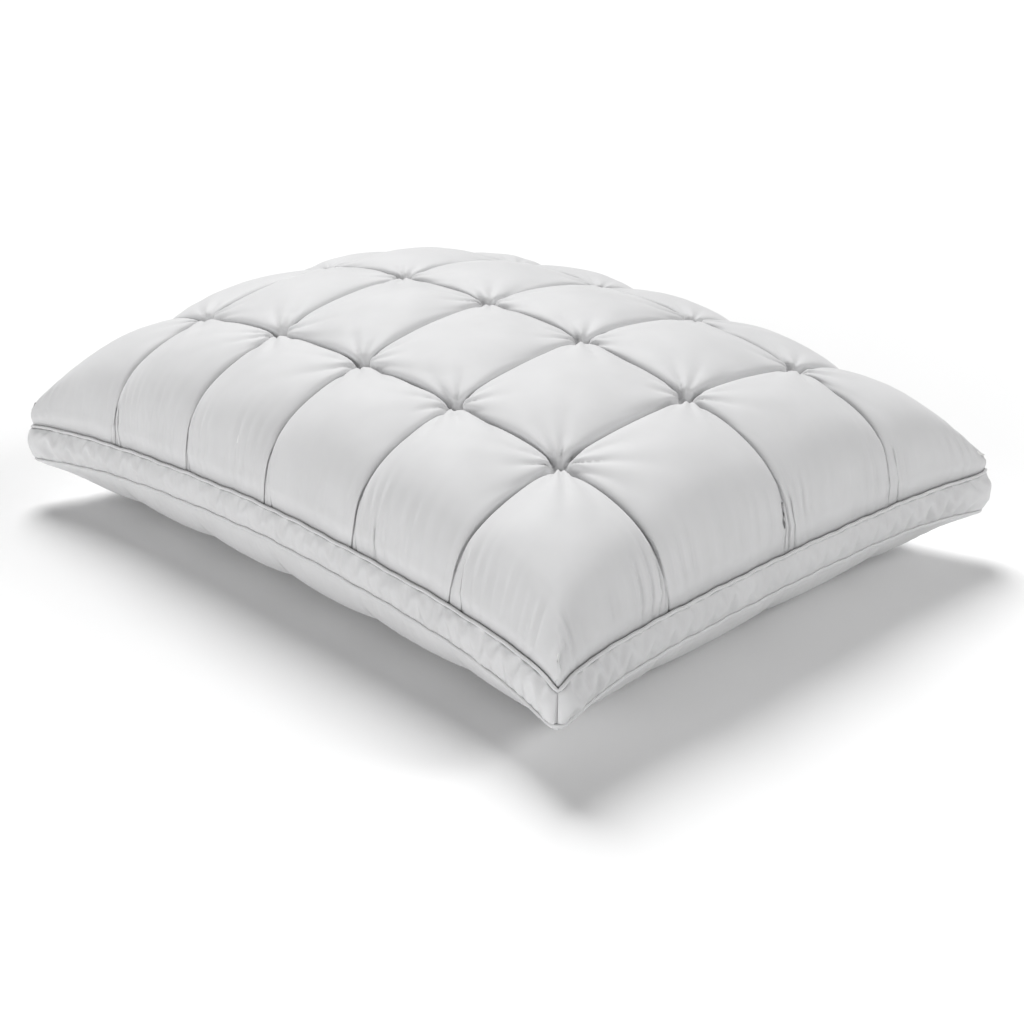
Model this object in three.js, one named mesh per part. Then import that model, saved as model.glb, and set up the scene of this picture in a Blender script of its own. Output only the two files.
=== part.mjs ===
// A gusseted bed pillow, box quilted on both faces, standing on its lower face.
// Units are millimetres. +X runs along the length, +Y along the width and +Z up.
// The origin is on the floor, under the middle of the pillow.
//
// Each face is a quilted panel: an outer fabric, a lining, and one fill pad in each box
// between them. The two panels and the gusset close round a core of loose fill in its own
// ticking. A corded piping is sewn into each of the two seams of the gusset.

import * as THREE from 'three';

// ---- Driving dimensions ----

const length = 660; // corner to corner, along X
const width = 508; // corner to corner, along Y
const cornerHeight = 52; // floor to the middle of the gusset, at the corners
const gussetHeight = 34; // between the two piping centres, at the corners
const crownHeight = 122; // upper piping to the seams of the upper face, at its middle
const crownLeanX = -0.12; // how much fuller the crown is towards +X, as a share
const crownLeanY = 0.07; // the same towards +Y

const columns = 6; // quilted boxes along X, an even number
const rows = 4; // quilted boxes along Y, an even number
const outerBox = 100; // depth in plan of the boxes that meet the edge
const topPuff = 16; // how far a box stands over its seams, on the upper face
const bottomPuff = 8; // the same on the lower face, pressed by the floor

const sidePull = 21; // how far the long sides pull in between the corners
const endPull = 18; // the same for the short ends
const sideRise = 18; // how far the long sides lift between the corners
const endRise = 5; // the same for the short ends
const gussetSqueeze = 3.5; // how far each piping moves towards the other, mid side

const fabricThickness = 0.8; // outer fabric of the panels
const liningThickness = 0.5;
const gussetThickness = 0.8;
const gussetBulge = 2.5; // how far the strip curves out at half its height
const tickingThickness = 0.5; // bag of the core
const pipingWall = 0.35; // fabric of the piping round its cord
const cordRadius = 0.7;
const pipingSlit = Math.PI / 3; // angle left open towards the seam

const clearance = 0.3; // between pieces that touch
const cornerRound = 8; // how far the piping's bend reaches from each corner
const cornerTuck = 5; // how far a panel's corner stays inside the piping's bend
const fillMargin = 0.08; // a fill pad's distance to its seams, as a share of the box
const fillClearance = 0.8; // between a fill pad and the fabrics over and under it
const coreClearance = 3; // between the core and the linings round it
const joinGap = 0.6; // where a strip's two ends meet, at one corner

// ---- Derived sizes ----

const pipingRadius = cordRadius + clearance + pipingWall;
const seamInset = pipingRadius + clearance; // from a piping's centre to a panel's edge
const innerColumns = columns / 2 - 1; // boxes between the middle and the outer one
const innerRows = rows / 2 - 1;
const pitchX = (length / 2 - endPull - outerBox) / innerColumns;
const pitchY = (width / 2 - sidePull - outerBox) / innerRows;

const flare = 4.8; // how suddenly the sides flare out into the corners
const liftShape = 1.5; // how the lift is spread along a side
const crownShape = { endPower: 2.2, endRoot: 0.32, sidePower: 2, sideRoot: 0.38 };
const edgeBlend = 6; // how closely the lift of the edges keeps to the edges
const nodesPerBox = 3; // mesh steps across each quilted box
const coreNodesPerBox = 2;

// ---- The outline ----

// Falls from 1 at the middle of a side to 0 at its ends.
const bow = (s, power) => Math.max(0, 1 - Math.abs(s) ** power);
const halfLengthAt = (v) => length / 2 - endPull * bow(v, flare);
const halfWidthAt = (u) => width / 2 - sidePull * bow(u, flare);
const sideLift = (u) => sideRise * bow(u, liftShape);
const endLift = (v) => endRise * bow(v, liftShape);

// One axis of the quilting: boxes of one pitch in the middle, the last one to the edge.
function gridPlace(index, count, inner, pitch, edge) {
  const steps = index - count / 2;
  const beyond = Math.max(0, Math.abs(steps) - inner);
  const within = Math.min(Math.abs(steps), inner) * pitch;
  return Math.sign(steps) * (within + beyond * (edge - inner * pitch));
}

// Plan position of quilting coordinates (a, b), where whole numbers are seams.
function planPoint(a, b, inset) {
  const nominalX = gridPlace(a, columns, innerColumns, pitchX, length / 2);
  const nominalY = gridPlace(b, rows, innerRows, pitchY, width / 2);
  const halfLength = halfLengthAt(nominalY / (width / 2)) - inset;
  const halfWidth = halfWidthAt(nominalX / (length / 2)) - inset;
  const x = gridPlace(a, columns, innerColumns, pitchX, halfLength);
  const y = gridPlace(b, rows, innerRows, pitchY, halfWidth);
  return { x, y, u: x / halfLength, v: y / halfWidth };
}

// ---- The two faces, at the level of their seams ----

// What the edges do between their corners fades towards the middle of a face.
function fromEdges(u, v, side, end) {
  return side * Math.abs(v) ** edgeBlend + end * Math.abs(u) ** edgeBlend;
}

const edgeLift = (u, v) => fromEdges(u, v, sideLift(u), endLift(v));
const edgeSqueeze = (u, v) =>
  gussetSqueeze * fromEdges(u, v, bow(u, liftShape), bow(v, liftShape));

// Corner points stay inside the bend of the piping.
function tucked(point, a, b) {
  const atCorner = (a === 0 || a === columns) && (b === 0 || b === rows);
  const tuck = atCorner ? cornerTuck : 0;
  return { x: point.x - Math.sign(point.x) * tuck, y: point.y - Math.sign(point.y) * tuck };
}

function topSeamPoint(a, b) {
  const plan = planPoint(a, b, seamInset);
  const { u, v } = plan;
  const endFall = bow(u, crownShape.endPower) ** crownShape.endRoot;
  const sideFall = bow(v, crownShape.sidePower) ** crownShape.sideRoot;
  const lean = 1 + crownLeanX * u + crownLeanY * v;
  const edgeZ = cornerHeight + gussetHeight / 2 + edgeLift(u, v) - edgeSqueeze(u, v);
  const { x, y } = tucked(plan, a, b);
  return new THREE.Vector3(x, y, edgeZ + crownHeight * endFall * sideFall * lean);
}

// The lower face is flat under the inner boxes and curves up to the piping as an ellipse.
function bottomSeamPoint(a, b) {
  const plan = planPoint(a, b, seamInset);
  const { u, v } = plan;
  const outward = (index, count, inner) => Math.max(0, Math.abs(index - count / 2) - inner);
  const acrossEnd = outward(a, columns, innerColumns);
  const acrossSide = outward(b, rows, innerRows);
  const full = Math.sqrt(1 - acrossEnd ** 2) * Math.sqrt(1 - acrossSide ** 2);
  const edgeZ = cornerHeight - gussetHeight / 2 + edgeLift(u, v) + edgeSqueeze(u, v);
  const { x, y } = tucked(plan, a, b);
  return new THREE.Vector3(x, y, bottomPuff + (edgeZ - bottomPuff) * (1 - full));
}

// Outward normal of a face, by differences over a tenth of a box.
function faceNormal(seamPoint, outwardSign, a, b) {
  const step = 0.1;
  const alongX = seamPoint(Math.min(a + step, columns), b)
    .sub(seamPoint(Math.max(a - step, 0), b));
  const alongY = seamPoint(a, Math.min(b + step, rows))
    .sub(seamPoint(a, Math.max(b - step, 0)));
  return alongX.cross(alongY).normalize().multiplyScalar(outwardSign);
}

const topFace = { seamPoint: topSeamPoint, outwardSign: 1, puff: topPuff };
const bottomFace = { seamPoint: bottomSeamPoint, outwardSign: -1, puff: bottomPuff };

// A box rises over its first third and is level over its middle third.
function boxRise(position) {
  const share = position - Math.floor(position);
  return Math.sin((Math.PI / 2) * Math.min(1, 3 * Math.min(share, 1 - share)));
}

// ---- Layers: grids of points at a height over the seams of a face ----

// The diagonal that splits each mesh square: the one that stands out from the face where
// fold is 1, and the one that lies deeper where fold is -1. A fabric with raised diagonals
// clears every pad under it, and a lining with sunken ones clears every pad over it.
function splitDiagonals(grid, outwardSign, fold) {
  const isRising = (i, j) => {
    const [near, right] = [grid[i][j], grid[i + 1][j]];
    const [back, far] = [grid[i][j + 1], grid[i + 1][j + 1]];
    const outward = far.clone().sub(near).cross(back.clone().sub(right));
    const rise = near.clone().add(far).sub(right).sub(back).dot(outward);
    return rise * outwardSign * fold > 0;
  };
  return grid.slice(1).map((_, i) => grid[0].slice(1).map((__, j) => isRising(i, j)));
}

function layer(face, steps, fold, heightAt) {
  const grid = [];
  for (let i = 0; i <= columns * steps; i++) {
    const line = [];
    for (let j = 0; j <= rows * steps; j++) {
      const a = i / steps;
      const b = j / steps;
      const normal = faceNormal(face.seamPoint, face.outwardSign, a, b);
      line.push(face.seamPoint(a, b).addScaledVector(normal, heightAt(a, b)));
    }
    grid.push(line);
  }
  return { grid, steps, rising: splitDiagonals(grid, face.outwardSign, fold) };
}

const puffLayer = (face, drop) =>
  layer(face, nodesPerBox, 1, (a, b) => face.puff * boxRise(a) * boxRise(b) - drop);
const flatLayer = (face, steps, drop) => layer(face, steps, -1, () => -drop);

// The point of a layer's own facets at quilting coordinates (a, b).
function onFacets({ grid, steps, rising }, a, b) {
  const i = Math.min(Math.floor(a * steps), grid.length - 2);
  const j = Math.min(Math.floor(b * steps), grid[0].length - 2);
  const s = a * steps - i;
  const t = b * steps - j;
  const near = grid[i][j];
  const far = grid[i + 1][j + 1];
  const right = grid[i + 1][j];
  const back = grid[i][j + 1];
  const mix = (origin, p, ps, q, qs) => origin.clone()
    .addScaledVector(p.clone().sub(origin), ps)
    .addScaledVector(q.clone().sub(origin), qs);
  if (rising[i][j]) {
    if (s > t) return mix(near, right, s - t, far, t);
    return mix(near, back, t - s, far, s);
  }
  if (s + t < 1) return mix(near, right, s, back, t);
  return mix(far, right, 1 - t, back, 1 - s);
}

// ---- Closed solids ----

function meshGeometry(points, triangles) {
  const geometry = new THREE.BufferGeometry();
  const flat = points.flatMap((p) => [p.x, p.y, p.z]);
  geometry.setAttribute('position', new THREE.Float32BufferAttribute(flat, 3));
  geometry.setIndex(triangles.flat());
  geometry.computeVertexNormals();
  return geometry;
}

// The solid between an upper and a lower grid of points of the same size.
function slab(upper, lower, rising) {
  const across = upper.length;
  const along = upper[0].length;
  const points = [...upper.flat(), ...lower.flat()];
  const up = (i, j) => i * along + j;
  const down = (i, j) => across * along + up(i, j);
  const triangles = [];
  for (let i = 0; i < across - 1; i++) {
    for (let j = 0; j < along - 1; j++) {
      const square = [[i, j], [i + 1, j], [i + 1, j + 1], [i, j + 1]];
      const halves = rising[i][j] ? [[0, 1, 2], [0, 2, 3]] : [[0, 1, 3], [1, 2, 3]];
      for (const half of halves) {
        const [p, q, r] = half.map((corner) => square[corner]);
        triangles.push([up(...p), up(...q), up(...r)], [down(...p), down(...r), down(...q)]);
      }
    }
  }
  const rim = [];
  for (let i = 0; i < across - 1; i++) rim.push([i, 0]);
  for (let j = 0; j < along - 1; j++) rim.push([across - 1, j]);
  for (let i = across - 1; i > 0; i--) rim.push([i, along - 1]);
  for (let j = along - 1; j > 0; j--) rim.push([0, j]);
  rim.forEach((here, index) => {
    const next = rim[(index + 1) % rim.length];
    triangles.push([up(...here), down(...here), down(...next)]);
    triangles.push([up(...here), down(...next), up(...next)]);
  });
  return meshGeometry(points, triangles);
}

// A slab between two layers, whichever of them is the higher.
function layerSlab(first, second, face) {
  const [upper, lower] = face.outwardSign > 0 ? [first, second] : [second, first];
  return slab(upper.grid, lower.grid, first.rising);
}

// A strip along the outline, with flat ends, from its cross section at each station.
function sweep(stations, sectionAt) {
  const rings = stations.map((station) => sectionAt(station).map(([out, z]) =>
    new THREE.Vector3(station.x + station.outX * out, station.y + station.outY * out, z)));
  const size = rings[0].length;
  const triangles = [];
  for (let k = 0; k < rings.length - 1; k++) {
    for (let i = 0; i < size; i++) {
      const next = (i + 1) % size;
      const here = k * size;
      const ahead = here + size;
      triangles.push([here + i, ahead + next, here + next]);
      triangles.push([here + i, ahead + i, ahead + next]);
    }
  }
  const section = sectionAt(stations[0]).map(([out, z]) => new THREE.Vector2(out, z));
  const lastRing = (rings.length - 1) * size;
  for (const [p, q, r] of THREE.ShapeUtils.triangulateShape(section, [])) {
    triangles.push([p, q, r]);
    triangles.push([lastRing + r, lastRing + q, lastRing + p]);
  }
  return meshGeometry(rings.flat(), triangles);
}

// ---- Stations round the outline, anticlockwise from the corner at +X, -Y ----

function outlinePoint(side, s) {
  const alongEnd = { x: halfLengthAt(s), y: (s * width) / 2, lift: endLift(s) };
  const alongSide = { x: (-s * length) / 2, y: halfWidthAt(s), lift: sideLift(s) };
  const base = side % 2 === 0 ? alongEnd : alongSide;
  const turned = side >= 2 ? -1 : 1;
  return { x: base.x * turned, y: base.y * turned, lift: base.lift, mid: bow(s, liftShape) };
}

function mixPoints(p, q, share) {
  const mixed = {};
  for (const key of Object.keys(p)) mixed[key] = p[key] * (1 - share) + q[key] * share;
  return mixed;
}

// Points of the bend at the corner before a side: a quadratic curve with the corner as
// its control point.
function cornerBend(side, share) {
  const reach = (k) => 1 - (2 * cornerRound) / (k % 2 === 0 ? width : length);
  const before = (side + 3) % 4;
  const start = outlinePoint(before, reach(before));
  const tip = outlinePoint(side, -1);
  const end = outlinePoint(side, -reach(side));
  return mixPoints(mixPoints(start, tip, share), mixPoints(tip, end, share), share);
}

function outlineStations() {
  const sideSteps = 8;
  const bendSteps = 4;
  const loop = [];
  for (let side = 0; side < 4; side++) {
    for (let k = 0; k < bendSteps; k++) loop.push(cornerBend(side, k / bendSteps));
    const limit = 1 - (2 * cornerRound) / (side % 2 === 0 ? width : length);
    for (let k = 0; k < sideSteps; k++) {
      const even = (2 * k) / sideSteps - 1;
      loop.push(outlinePoint(side, limit * Math.sin((Math.PI / 2) * even)));
    }
  }
  // The loop is opened at the first corner's tip, where the ends of each strip meet.
  const opened = [...loop.slice(bendSteps / 2), ...loop.slice(0, bendSteps / 2 + 1)];
  const last = opened.length - 1;
  const shorten = (end, inner) => {
    const run = Math.hypot(inner.x - end.x, inner.y - end.y);
    return mixPoints(end, inner, joinGap / run);
  };
  const first = shorten(opened[0], opened[1]);
  const final = shorten(opened[last], opened[last - 1]);
  const stations = [first, ...opened.slice(1, last), final];
  return stations.map((station, index) => {
    const from = stations[Math.max(0, index - 1)];
    const to = stations[Math.min(last, index + 1)];
    const run = Math.hypot(to.x - from.x, to.y - from.y);
    return { ...station, outX: (to.y - from.y) / run, outY: (from.x - to.x) / run };
  });
}

// Height of a piping's centre: level is 1 for the upper one and -1 for the lower one.
function pipingZ(station, level) {
  const halfGusset = gussetHeight / 2 - gussetSqueeze * station.mid;
  return cornerHeight + station.lift + level * halfGusset;
}

// ---- Cross sections ----

const arc = (radius, from, to, steps, z) => Array.from({ length: steps + 1 }, (_, k) => {
  const angle = from + ((to - from) * k) / steps;
  return [radius * Math.cos(angle), z + radius * Math.sin(angle)];
});

// The piping's fabric is folded round the cord and stays open towards the seam.
function pipingSection(station, level) {
  const z = pipingZ(station, level);
  const reach = Math.PI - pipingSlit / 2;
  const arcSteps = 5;
  const outer = arc(pipingRadius, -reach, reach, arcSteps, z);
  const inner = arc(pipingRadius - pipingWall, reach, -reach, arcSteps, z);
  return [...outer, ...inner];
}

function cordSection(station, level) {
  const sides = 6;
  return arc(cordRadius, 0, 2 * Math.PI, sides, pipingZ(station, level)).slice(0, sides);
}

// The gusset strip stands between the pipings and curves out at half its height.
function gussetSection(station) {
  const upper = pipingZ(station, 1) - seamInset;
  const lower = pipingZ(station, -1) + seamInset;
  const middle = (upper + lower) / 2;
  const half = gussetThickness / 2;
  const face = (offset) => [[offset, lower], [offset + gussetBulge, middle], [offset, upper]];
  return [...face(half), ...face(-half).reverse()];
}

// ---- Pieces ----

const finishes = {
  cover: { color: 0xf1f1f0, roughness: 0.62 },
  gusset: { color: 0xf0f0ef, roughness: 0.6 },
  piping: { color: 0xdededd, roughness: 0.45 },
  cord: { color: 0xe9e6df, roughness: 0.9 },
  lining: { color: 0xf4f3f0, roughness: 0.85 },
  fill: { color: 0xf8f8f6, roughness: 0.95 },
  core: { color: 0xf6f5f2, roughness: 0.95 },
};

const group = new THREE.Group();

function addPiece(name, geometry, finish) {
  const material = new THREE.MeshStandardMaterial({ ...finishes[finish], metalness: 0 });
  const mesh = new THREE.Mesh(geometry, material);
  mesh.name = name;
  group.add(mesh);
}

// The pad in the box whose first seams are number column and row.
function fillPad(face, column, row) {
  const under = puffLayer(face, fabricThickness + fillClearance);
  const over = flatLayer(face, nodesPerBox, fabricThickness + clearance - fillClearance);
  const shares = [fillMargin];
  for (let k = 1; k < nodesPerBox; k++) shares.push(k / nodesPerBox);
  shares.push(1 - fillMargin);
  const pick = (source) => shares.map((s) => shares.map((t) =>
    onFacets(source, column + s, row + t)));
  const grid = pick(under);
  const rising = splitDiagonals(grid, face.outwardSign, 1);
  return layerSlab({ grid, rising }, { grid: pick(over) }, face);
}

function addQuiltedPanel(face, label) {
  const liningDrop = fabricThickness + clearance;
  const fabric = layerSlab(puffLayer(face, 0), puffLayer(face, fabricThickness), face);
  const lining = layerSlab(
    flatLayer(face, nodesPerBox, liningDrop),
    flatLayer(face, nodesPerBox, liningDrop + liningThickness),
    face,
  );
  addPiece(`${label}_panel`, fabric, 'cover');
  addPiece(`${label}_lining`, lining, 'lining');
  for (let row = 0; row < rows; row++) {
    for (let column = 0; column < columns; column++) {
      addPiece(`${label}_fill_r${row + 1}_c${column + 1}`, fillPad(face, column, row), 'fill');
    }
  }
}

// The core keeps to the middle of the boxes at the edge, where the faces are well apart.
function coreGrid(face, drop) {
  const reach = 0.5;
  const source = flatLayer(face, coreNodesPerBox, drop);
  const lines = (count) => {
    const places = [];
    for (let k = 1; k < count * coreNodesPerBox; k++) places.push(k / coreNodesPerBox);
    return places.map((place) => Math.min(Math.max(place, reach), count - reach));
  };
  return lines(columns).map((a) => lines(rows).map((b) => onFacets(source, a, b)));
}

function addCore() {
  const liningFloor = fabricThickness + clearance + liningThickness;
  const outer = liningFloor + coreClearance;
  const inner = outer + tickingThickness;
  const fill = inner + clearance;
  const top = (drop) => coreGrid(topFace, drop);
  const bottom = (drop) => coreGrid(bottomFace, drop);
  const rising = splitDiagonals(top(outer), 1, 1);
  addPiece('core_ticking_top', slab(top(outer), top(inner), rising), 'lining');
  addPiece('core_ticking_bottom', slab(bottom(inner), bottom(outer), rising), 'lining');
  addPiece('core_fill', slab(top(fill), bottom(fill), rising), 'core');
}

addQuiltedPanel(topFace, 'top');
addQuiltedPanel(bottomFace, 'bottom');
addCore();

const stations = outlineStations();
addPiece('gusset_strip', sweep(stations, gussetSection), 'gusset');
for (const [label, level] of [['top', 1], ['bottom', -1]]) {
  const cover = sweep(stations, (station) => pipingSection(station, level));
  const cord = sweep(stations, (station) => cordSection(station, level));
  addPiece(`${label}_piping_cover`, cover, 'piping');
  addPiece(`${label}_piping_cord`, cord, 'cord');
}

export default group;
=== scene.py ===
"""A gusseted, box-quilted bed pillow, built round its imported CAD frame. Blender 4.5, metres.

Each fabric is a grid in quilting coordinates (a, b), where whole numbers are seams. A panel
is given the shape of its fill, with seeded creases, and a small cloth solver settles it
within a little play of that shape. The fills, linings and core follow the panels inside.
"""

import math

import bpy
import numpy as np
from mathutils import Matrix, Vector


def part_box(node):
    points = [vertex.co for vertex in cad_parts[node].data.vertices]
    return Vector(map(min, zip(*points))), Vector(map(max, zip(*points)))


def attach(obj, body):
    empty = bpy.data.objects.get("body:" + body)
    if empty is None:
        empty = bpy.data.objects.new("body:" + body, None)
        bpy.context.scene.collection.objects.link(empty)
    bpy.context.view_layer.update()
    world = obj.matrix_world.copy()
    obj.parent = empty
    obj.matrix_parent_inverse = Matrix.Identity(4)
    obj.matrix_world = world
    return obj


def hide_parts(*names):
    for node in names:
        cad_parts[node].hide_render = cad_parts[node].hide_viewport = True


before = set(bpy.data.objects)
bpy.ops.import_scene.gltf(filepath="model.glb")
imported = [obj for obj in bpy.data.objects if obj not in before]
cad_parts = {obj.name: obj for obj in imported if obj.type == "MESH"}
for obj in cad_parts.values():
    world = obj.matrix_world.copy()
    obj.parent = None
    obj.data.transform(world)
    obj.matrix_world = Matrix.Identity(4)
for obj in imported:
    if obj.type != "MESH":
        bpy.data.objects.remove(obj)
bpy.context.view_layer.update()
MM = 0.001

# ---- Sizes, taken from the frame or repeated from the CAD model ----

piping_low, piping_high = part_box("top_piping_cover")
gusset_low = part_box("gusset_strip")[0]
PIPING_OUTSIDE = 0.55 * MM  # how far the piping stands outside a corner
LENGTH = round(piping_high.x - piping_low.x - 2 * PIPING_OUTSIDE, 3)
WIDTH = round(piping_high.y - piping_low.y - 2 * PIPING_OUTSIDE, 3)
COLUMNS = max(int(name.split("_c")[1]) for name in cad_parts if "top_fill" in name)
ROWS = sum(name.endswith("_c1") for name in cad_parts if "top_fill" in name)

CORD_RADIUS = 0.7 * MM
CLEARANCE = 0.3 * MM
PIPING_WALL = 0.35 * MM
PIPING_RADIUS = CORD_RADIUS + CLEARANCE + PIPING_WALL
SEAM_INSET = PIPING_RADIUS + CLEARANCE
SEWN_GAP = 0.08 * MM  # between the piping and the fabrics sewn to it
SEWN_INSET = PIPING_RADIUS + SEWN_GAP
GUSSET_HEIGHT = 34 * MM
CORNER_HEIGHT = gusset_low.z - SEAM_INSET + GUSSET_HEIGHT / 2
CROWN_HEIGHT = 122 * MM
CROWN_LEAN = (-0.12, 0.07)
OUTER_BOX = 100 * MM
SIDE_PULL, END_PULL = 21 * MM, 18 * MM
SIDE_RISE, END_RISE = 18 * MM, 5 * MM
GUSSET_SQUEEZE = 3.5 * MM
BOTTOM_PUFF = 8 * MM
CORNER_ROUND = 10 * MM
FLARE, LIFT_SHAPE, SQUEEZE_SHAPE, EDGE_BLEND = 4.8, 1.5, 4, 6
INNER_COLUMNS = COLUMNS / 2 - 1
INNER_ROWS = ROWS / 2 - 1
PITCH_X = (LENGTH / 2 - END_PULL - OUTER_BOX) / INNER_COLUMNS
PITCH_Y = (WIDTH / 2 - SIDE_PULL - OUTER_BOX) / INNER_ROWS

FABRIC = 0.8 * MM
LINING = 0.5 * MM
TICKING = 0.5 * MM
GUSSET_FABRIC = 0.8 * MM
GUSSET_BULGE = 2.5 * MM
JOIN_GAP = 0.1 * MM

# How the upper and the lower piping turn down at each corner, from the corner at +X, -Y
# anticlockwise; a negative value turns up.
TOP_DIPS = (5 * MM, -4 * MM, 3 * MM, 2 * MM)
BOTTOM_DIPS = (-4 * MM, -2 * MM, -2 * MM, -2 * MM)
DIP_REACH = 10 * MM
PIPING_WAVE = 0.3 * MM  # how far the sewn piping wanders up and down

rng = np.random.default_rng(20)


# ---- The outline ----

def bow(s, power):
    """Falls from 1 at the middle of a side to 0 at its ends."""
    return np.maximum(0, 1 - np.abs(s) ** power)


def half_length_at(v):
    return LENGTH / 2 - END_PULL * bow(v, FLARE)


def half_width_at(u):
    return WIDTH / 2 - SIDE_PULL * bow(u, FLARE)


def grid_place(index, count, inner, pitch, edge):
    """One axis of the quilting: even boxes in the middle, the last one to the edge."""
    steps = index - count / 2
    beyond = np.maximum(0, np.abs(steps) - inner)
    within = np.minimum(np.abs(steps), inner) * pitch
    return np.sign(steps) * (within + beyond * (edge - inner * pitch))


def side_point(side, s):
    """Plan x and y, the lift, and the nearness to mid side, at s from -1 to 1 on a side."""
    on_end = side % 2 == 0
    x = np.where(on_end, half_length_at(s), -s * LENGTH / 2)
    y = np.where(on_end, s * WIDTH / 2, half_width_at(s))
    lift = np.where(on_end, END_RISE * bow(s, LIFT_SHAPE), SIDE_RISE * bow(s, LIFT_SHAPE))
    turn = np.where(side >= 2, -1, 1)
    return np.stack([x * turn, y * turn, lift, bow(s, SQUEEZE_SHAPE)], -1)


def rim_plan(t):
    """The outline at t from 0 to 4, one unit to a side, with its corners rounded."""
    t = np.mod(t, 4)
    side = np.minimum(np.floor(t).astype(int), 3)
    s = 2 * (t - side) - 1

    def reach(which):
        return 1 - CORNER_ROUND / (np.where(which % 2 == 0, WIDTH, LENGTH) / 2)

    before = s > reach(side)
    after = s < -reach(side)
    corner = np.where(before, (side + 1) % 4, side)
    entering = 0.5 * (s - reach(side)) / (1 - reach(side))
    leaving = 0.5 + 0.5 * (s + 1) / (1 - reach(side))
    share = np.where(before, entering, leaving)[..., None]
    previous = (corner + 3) % 4
    start = side_point(previous, reach(previous))
    tip = side_point(corner, -np.ones_like(s))
    end = side_point(corner, -reach(corner))
    bend = (1 - share) ** 2 * start + 2 * share * (1 - share) * tip + share ** 2 * end
    return np.where((before | after)[..., None], bend, side_point(side, s))


def corner_turn(t, dips):
    """How far the corners turn the piping down at t."""
    t = np.mod(t, 4)
    turn = np.zeros_like(t)
    for corner, dip in enumerate(dips):
        for start in (corner, corner - 4, corner + 4):
            away = t - start
            run = np.where((away > 0) == (corner % 2 == 0), WIDTH, LENGTH)
            turn += dip * np.exp(-(np.abs(away) * run / DIP_REACH) ** 1.3)
    return turn


def piping_centre(t, level):
    """Centre of the piping at t: level is 1 for the upper one and -1 for the lower one."""
    plan = rim_plan(t)
    dips = TOP_DIPS if level > 0 else BOTTOM_DIPS
    half = GUSSET_HEIGHT / 2 - GUSSET_SQUEEZE * plan[..., 3]
    wave = np.sin(2 * math.pi * 9 * t + level) + np.sin(2 * math.pi * 23 * t + 2 * level)
    z = CORNER_HEIGHT + plan[..., 2] + level * half - corner_turn(t, dips)
    z = z + PIPING_WAVE * wave * plan[..., 3]
    return np.concatenate([plan[..., :2], z[..., None]], -1)


def rim_out(t):
    """Unit vector out of the outline, in plan."""
    step = 0.004
    run = rim_plan(t + step) - rim_plan(t - step)
    out = np.stack([run[..., 1], -run[..., 0], np.zeros_like(run[..., 0])], -1)
    return out / np.linalg.norm(out, axis=-1, keepdims=True)


# ---- The two faces at the level of their seams ----

SEAM_CROWDING = 0.5  # how much closer the grid lines are beside a seam, as a share


def plan_grid(a, b):
    nominal_x = grid_place(a, COLUMNS, INNER_COLUMNS, PITCH_X, LENGTH / 2)
    nominal_y = grid_place(b, ROWS, INNER_ROWS, PITCH_Y, WIDTH / 2)
    half_length = half_length_at(nominal_y / (WIDTH / 2)) - SEAM_INSET
    half_width = half_width_at(nominal_x / (LENGTH / 2)) - SEAM_INSET
    x = grid_place(a, COLUMNS, INNER_COLUMNS, PITCH_X, half_length)
    y = grid_place(b, ROWS, INNER_ROWS, PITCH_Y, half_width)
    return x, y, x / half_length, y / half_width


def outer_shares(a, b):
    """How far into the outer boxes a point is, from 0 to 1, towards the ends and the sides."""
    towards_end = np.maximum(0, np.abs(a - COLUMNS / 2) - INNER_COLUMNS)
    towards_side = np.maximum(0, np.abs(b - ROWS / 2) - INNER_ROWS)
    return towards_end, towards_side


def from_edges(u, v, side, end):
    """Mixes a value at the sides with one at the ends, both fading towards the middle."""
    return side * np.abs(v) ** EDGE_BLEND + end * np.abs(u) ** EDGE_BLEND


def edge_heights(u, v):
    lift = from_edges(u, v, SIDE_RISE * bow(u, LIFT_SHAPE), END_RISE * bow(v, LIFT_SHAPE))
    squeeze = GUSSET_SQUEEZE * from_edges(u, v, bow(u, LIFT_SHAPE), bow(v, LIFT_SHAPE))
    return lift, squeeze


def top_seams(a, b):
    x, y, u, v = plan_grid(a, b)
    lift, squeeze = edge_heights(u, v)
    lean = 1 + CROWN_LEAN[0] * u + CROWN_LEAN[1] * v
    crown = CROWN_HEIGHT * bow(u, 2.2) ** 0.32 * bow(v, 2) ** 0.38 * lean
    return np.stack([x, y, CORNER_HEIGHT + GUSSET_HEIGHT / 2 + lift - squeeze + crown], -1)


def bottom_seams(a, b):
    x, y, u, v = plan_grid(a, b)
    lift, squeeze = edge_heights(u, v)
    towards_end, towards_side = outer_shares(a, b)
    full = np.sqrt(1 - towards_end ** 2) * np.sqrt(1 - towards_side ** 2)
    edge = CORNER_HEIGHT - GUSSET_HEIGHT / 2 + lift + squeeze
    return np.stack([x, y, BOTTOM_PUFF + (edge - BOTTOM_PUFF) * (1 - full)], -1)


def border_targets(a, b, level):
    """Where a panel's edge is sewn: just inside the piping, all the way round."""
    nominal_x = grid_place(a, COLUMNS, INNER_COLUMNS, PITCH_X, LENGTH / 2) / (LENGTH / 2)
    nominal_y = grid_place(b, ROWS, INNER_ROWS, PITCH_Y, WIDTH / 2) / (WIDTH / 2)

    def sewn(t):
        return piping_centre(t, level) - rim_out(t) * SEWN_INSET

    near = sewn(3 + (nominal_x[:, 0] + 1) / 2)
    far = sewn(1 + (1 - nominal_x[:, -1]) / 2)
    left = sewn(2 + (1 - nominal_y[0, :]) / 2)
    right = sewn((nominal_y[-1, :] + 1) / 2)
    return near, far, left, right


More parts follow.
